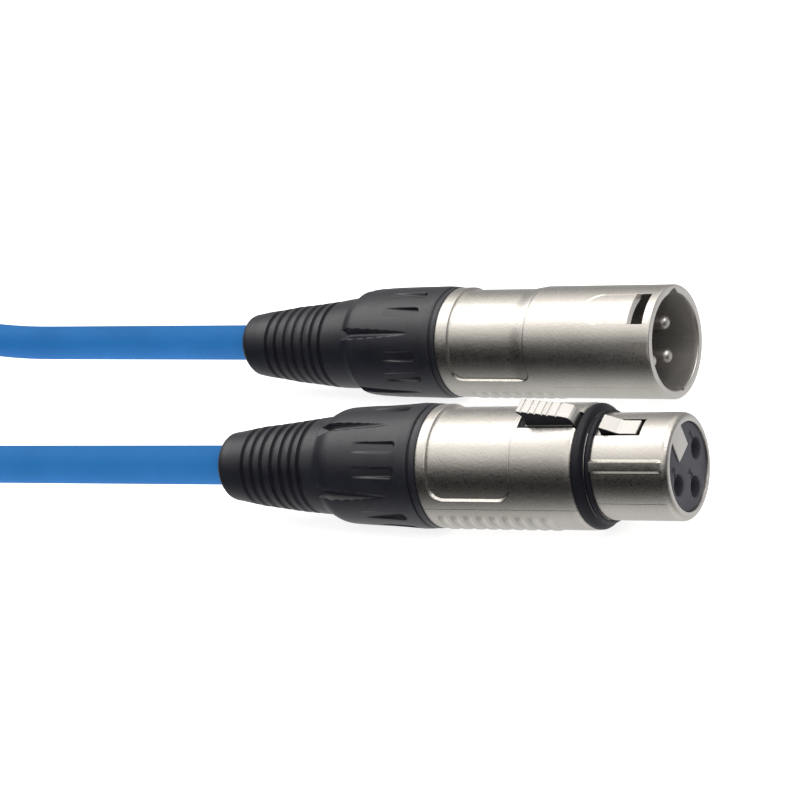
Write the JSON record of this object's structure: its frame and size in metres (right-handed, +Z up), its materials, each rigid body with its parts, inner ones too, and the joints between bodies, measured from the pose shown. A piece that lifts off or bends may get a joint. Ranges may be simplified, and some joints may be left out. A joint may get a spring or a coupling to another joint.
{
  "type": "audio cable with xlr connectors",
  "caption": "Balanced audio cable: male and female three-pole latching connectors with ribbed boots on one blue cable wound into a tied coil.",
  "frame": {"origin": "on the surface it lies on, under the centre of the two connectors' bounding box", "axes": "+X along the male connector out of its mating face, +Y from the female connector to the male one, +Z up"},
  "size_m": [0.283, 0.0928, 0.0273],
  "materials": {
    "nickel_shell": "satin nickel over die-cast zinc, fine grain",
    "contact_metal": "bright nickel plate",
    "black_insert": "moulded glass-filled plastic",
    "ring_rubber": "smooth black elastomer",
    "boot_rubber": "satin black moulded rubber",
    "bush_plastic": "hard black plastic",
    "chuck_plastic": "white acetal",
    "blue_jacket": "satin blue PVC",
    "spring_steel": "spring wire",
    "core_red": "PVC core",
    "core_white": "PVC core",
    "shield_copper": "twisted bare copper",
    "tie_fabric": "woven hook-and-loop"
  },
  "bodies": {
    "cable_assembly": {"male_shell": "nickel_shell", "male_insert": "black_insert", "male_pin_1": "contact_metal", "male_pin_2": "contact_metal", "male_pin_3": "contact_metal", "male_bush": "bush_plastic", "male_boot": "boot_rubber", "male_chuck": "chuck_plastic", "male_cable_tail": "blue_jacket", "male_shield_wire": "shield_copper", "male_core_hot": "core_red", "male_core_cold": "core_white", "female_shell": "nickel_shell", "female_insert": "black_insert", "female_contact_1": "contact_metal", "female_contact_2": "contact_metal", "female_contact_3": "contact_metal", "female_bush": "bush_plastic", "female_boot": "boot_rubber", "female_chuck": "chuck_plastic", "female_cable_tail": "blue_jacket", "female_shield_wire": "shield_copper", "female_core_hot": "core_red", "female_core_cold": "core_white", "female_ring": "ring_rubber", "female_latch_pin": "spring_steel", "female_latch_spring": "spring_steel", "cable_lead_male": "blue_jacket", "cable_lead_female": "blue_jacket", "cable_coil": "blue_jacket", "coil_tie": "tie_fabric"},
    "latch": {"female_latch": "nickel_shell"}
  },
  "joints": [
    {"name": "female_latch_press", "type": "hinge", "parent": "cable_assembly", "child": "latch", "pos_m": [0.03107, -0.0271, 0.01626], "axis": [-0.0506, 0.9427, 0.3299], "range_deg": [0, 3.9], "stiffness_Nm_per_rad": 0.25, "springref_deg": -2.86, "deforming": ["female_latch_spring"]}
  ]
}
